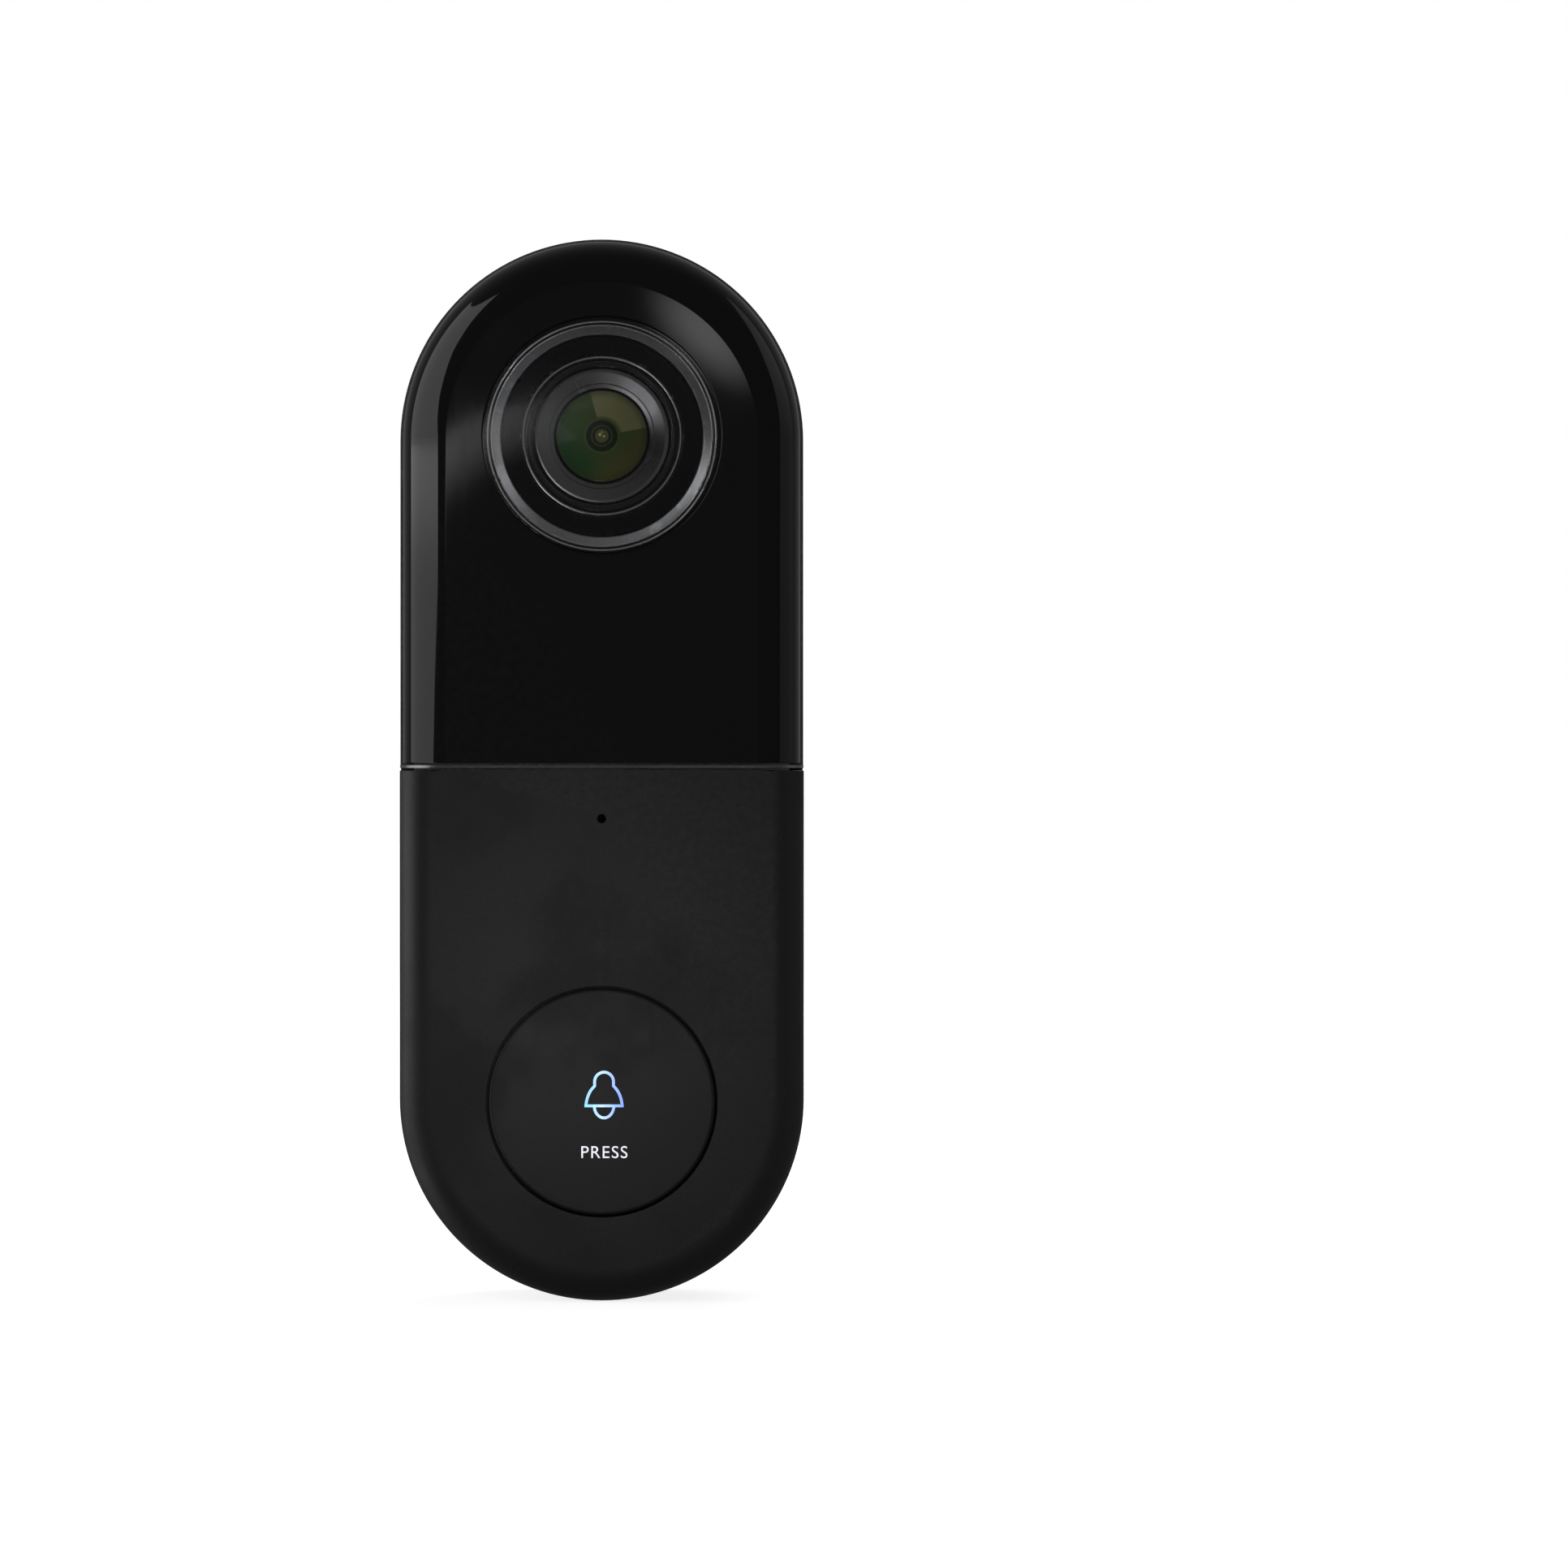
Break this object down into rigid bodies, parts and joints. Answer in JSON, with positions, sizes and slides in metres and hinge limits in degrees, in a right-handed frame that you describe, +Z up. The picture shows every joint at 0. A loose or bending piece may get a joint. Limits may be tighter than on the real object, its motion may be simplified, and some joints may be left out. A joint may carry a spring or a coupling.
{
  "type": "video doorbell",
  "caption": "Capsule-shaped battery video doorbell with a camera in a gloss upper half, a round push button in a matte lower half, and a wall bracket it hangs on.",
  "frame": {"origin": "centre of the wall bracket's flat back face, on the wall plane", "axes": "+Z up along the body's length, +Y into the wall, so the camera and the button face -Y; +X to the right seen from the front"},
  "size_m": [0.054, 0.0312, 0.142],
  "materials": {
    "matte_black": "fine moulded grain, matte",
    "gloss_black": "polished, high gloss",
    "satin_metal": "sandblasted, dark grey",
    "rim_metal": "satin",
    "smoked_window": "smooth, passes infrared",
    "lens_glass": "coated, green cast",
    "light_guide": "translucent, diffusing",
    "silicone": "matte",
    "circuit_board": "solder mask",
    "amber_film": "polyimide film",
    "cell_sleeve": "shrink sleeve",
    "steel": "plain",
    "inner_plastic": "as moulded",
    "clear_window": "clear, flat, hard coated",
    "clear_resin": "clear cast resin"
  },
  "bodies": {
    "bracket": {"wall_bracket": "matte_black", "lock_screw": "steel"},
    "doorbell": {"rear_housing": "matte_black", "lower_cover": "matte_black", "upper_fascia": "gloss_black", "lens_shroud": "gloss_black", "camera_bezel": "satin_metal", "window_trim": "satin_metal", "lens_hood": "satin_metal", "fascia_rim": "rim_metal", "ir_window": "smoked_window", "front_lens": "lens_glass", "inner_lens": "lens_glass", "image_sensor": "lens_glass", "housing_gasket": "silicone", "mic_gasket": "silicone", "button_gasket": "silicone", "battery_lead": "silicone", "camera_board": "circuit_board", "ir_led_board": "circuit_board", "main_board": "circuit_board", "usb_board": "circuit_board", "camera_flex": "amber_film", "wifi_antenna": "amber_film", "battery_cell_1": "cell_sleeve", "battery_cell_2": "cell_sleeve", "housing_screw_1": "steel", "housing_screw_2": "steel", "housing_screw_3": "steel", "housing_screw_4": "steel", "camera_screw_1": "steel", "camera_screw_2": "steel", "shield_can": "steel", "microphone": "steel", "usb_port": "steel", "speaker_mesh": "steel", "speaker_magnet": "steel", "lens_barrel": "inner_plastic", "lens_holder": "inner_plastic", "filter_actuator": "inner_plastic", "tact_switch": "inner_plastic", "battery_holder": "inner_plastic", "reset_switch": "inner_plastic", "speaker_basket": "inner_plastic", "camera_window": "clear_window", "ir_led_1": "clear_resin", "ir_led_2": "clear_resin", "ir_led_3": "clear_resin", "ir_led_4": "clear_resin", "ir_led_5": "clear_resin", "ir_led_6": "clear_resin", "light_sensor": "clear_resin", "indicator_led": "clear_resin"},
    "button": {"button_cap": "matte_black", "icon_light_guide": "light_guide"},
    "plunger": {"switch_plunger": "clear_resin"},
    "reset": {"reset_key": "silicone"},
    "port_flap": {"usb_cover": "silicone"},
    "infrared_filter": {"ir_cut_filter": "lens_glass"},
    "cone": {"speaker_cone": "inner_plastic"}
  },
  "joints": [
    {"name": "bracket_lift", "type": "slide", "parent": "bracket", "child": "doorbell", "axis": [0, 0, 1], "range_m": [0, 0.008]},
    {"name": "button_press", "type": "slide", "parent": "doorbell", "child": "button", "axis": [0, 1, 0], "range_m": [0, 0.0004], "stiffness_N_per_m": 800, "springref_m": -0.001},
    {"name": "switch_plunger_press", "type": "slide", "parent": "doorbell", "child": "plunger", "axis": [0, 1, 0], "range_m": [0, 0.0004]},
    {"name": "reset_press", "type": "slide", "parent": "doorbell", "child": "reset", "axis": [-1, 0, 0], "range_m": [0, 0.0004], "stiffness_N_per_m": 500, "springref_m": -0.0006},
    {"name": "usb_cover_hinge", "type": "hinge", "parent": "doorbell", "child": "port_flap", "pos_m": [0.0264, -0.0136, 0.0182], "axis": [0, 1, 0], "range_deg": [0, 100]},
    {"name": "ir_filter_shift", "type": "slide", "parent": "doorbell", "child": "infrared_filter", "axis": [1, 0, 0], "range_m": [0, 0.0065]},
    {"name": "speaker_cone_travel", "type": "slide", "parent": "doorbell", "child": "cone", "axis": [1, 0, 0], "range_m": [-0.0004, 0.0004], "stiffness_N_per_m": 900}
  ],
  "couplings": [
    {"joint": "switch_plunger_press", "follows": "button_press", "ratio": 1}
  ]
}
